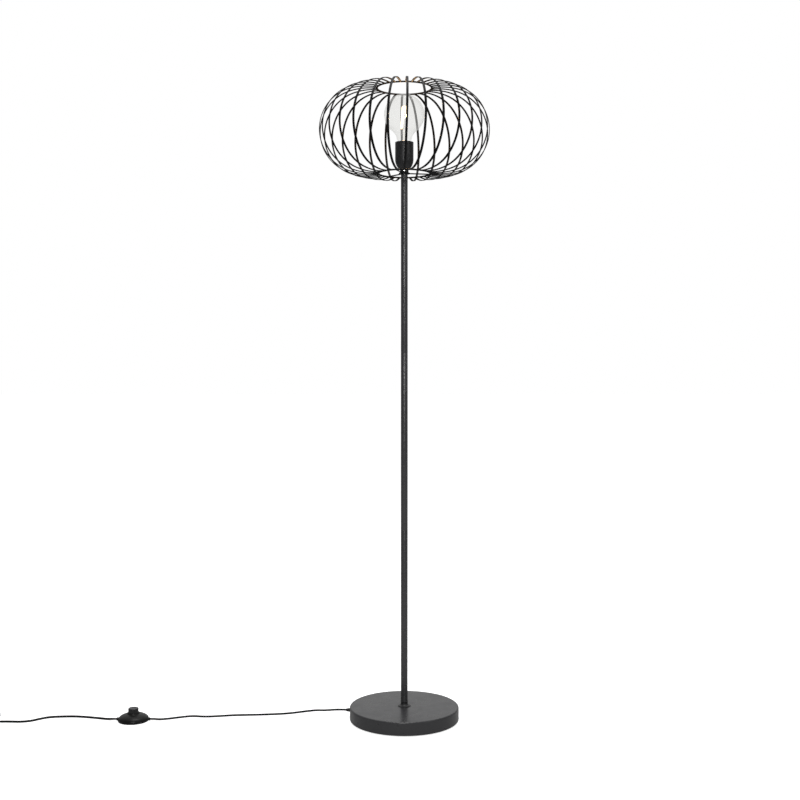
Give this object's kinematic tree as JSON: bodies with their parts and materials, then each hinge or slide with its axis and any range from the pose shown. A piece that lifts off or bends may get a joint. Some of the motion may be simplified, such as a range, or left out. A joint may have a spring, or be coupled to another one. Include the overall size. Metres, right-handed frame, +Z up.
{
  "type": "floor lamp",
  "caption": "Floor lamp with a round weighted base, a slim pole, a pumpkin-shaped cage of bent wires round a globe bulb, and a foot switch on the lead.",
  "frame": {"origin": "on the floor under the middle of the base, on the lamp's axis", "axes": "+Z up along the pole, +Y away from the viewer of the picture, the lead leaves the base towards -X"},
  "size_m": [1.3305, 0.3978, 1.4896],
  "materials": {
    "black_powder_coat": "satin black powder coat",
    "charcoal_powder_coat": "fine-textured dark grey powder coat",
    "zinc_steel": "zinc-plated",
    "cast_iron": "rough",
    "black_rubber": "matt",
    "black_cord": "smooth sheath",
    "black_tie": "matt",
    "black_plastic": "matt",
    "switch_plastic": "fine matt",
    "holder_plastic": "moulded",
    "brass": "bright",
    "nickel": "nickel-plated",
    "clear_glass": "clear",
    "filament": "glowing",
    "black_glass": "gloss"
  },
  "bodies": {
    "lamp": {"base_bottom_plate": "zinc_steel", "base_cord_bushing": "black_rubber", "base_cover": "charcoal_powder_coat", "base_feet": "black_rubber", "base_nut": "zinc_steel", "base_screws": "zinc_steel", "base_stud": "zinc_steel", "base_washer": "zinc_steel", "base_weight": "cast_iron", "cage_bottom_ring": "black_powder_coat", "cage_top_ring": "black_powder_coat", "cage_wires_01": "black_powder_coat", "cage_wires_02": "black_powder_coat", "cage_wires_03": "black_powder_coat", "cage_wires_04": "black_powder_coat", "cage_wires_05": "black_powder_coat", "cage_wires_06": "black_powder_coat", "cage_wires_07": "black_powder_coat", "cage_wires_08": "black_powder_coat", "cage_wires_09": "black_powder_coat", "cage_wires_10": "black_powder_coat", "cord_base_to_switch": "black_cord", "cord_coil": "black_cord", "cord_coil_to_plug": "black_cord", "cord_switch_to_coil": "black_cord", "cord_tie": "black_tie", "holder_body": "holder_plastic", "holder_centre_contact": "brass", "holder_cover": "black_powder_coat", "holder_dome": "holder_plastic", "holder_locknut": "zinc_steel", "holder_nipple": "zinc_steel", "holder_set_screw": "zinc_steel", "holder_terminals": "brass", "holder_thread_shell": "brass", "lamp_cable": "black_cord", "plug_body": "black_plastic", "plug_pins": "nickel", "pole_bushes": "zinc_steel", "pole_collar": "black_powder_coat", "pole_lower": "black_powder_coat", "pole_middle": "black_powder_coat", "pole_studs": "zinc_steel", "pole_upper": "black_powder_coat", "spider_arms": "black_powder_coat", "spider_hub": "black_powder_coat", "switch_base_plate": "switch_plastic", "switch_contacts": "brass", "switch_cord_reliefs": "black_plastic", "switch_housing": "switch_plastic", "switch_screws": "zinc_steel", "switch_spring": "zinc_steel"},
    "bulb_tip": {"bulb_tip_contact": "nickel"},
    "bulb": {"bulb_globe": "clear_glass", "bulb_stem": "clear_glass", "bulb_filaments": "filament", "bulb_support_wires": "nickel", "bulb_cap": "nickel", "bulb_insulator": "black_glass"},
    "foot_button": {"switch_button": "switch_plastic"}
  },
  "joints": [
    {"name": "foot_button_press", "type": "slide", "parent": "lamp", "child": "foot_button", "axis": [0, 0, -1], "range_m": [0, 0.004], "stiffness_N_per_m": 2500, "deforming": ["switch_spring"]},
    {"name": "bulb_rise", "type": "slide", "parent": "lamp", "child": "bulb_tip", "axis": [0, 0, 1], "range_m": [0, 0.0127]},
    {"name": "bulb_turn", "type": "hinge", "parent": "bulb_tip", "child": "bulb", "pos_m": [0, 0, 1.3], "axis": [0, 0, 1], "range_deg": [0, 1260]}
  ],
  "couplings": [
    {"joint": "bulb_rise", "follows": "bulb_turn", "m_per_rad": 0.0005775}
  ]
}
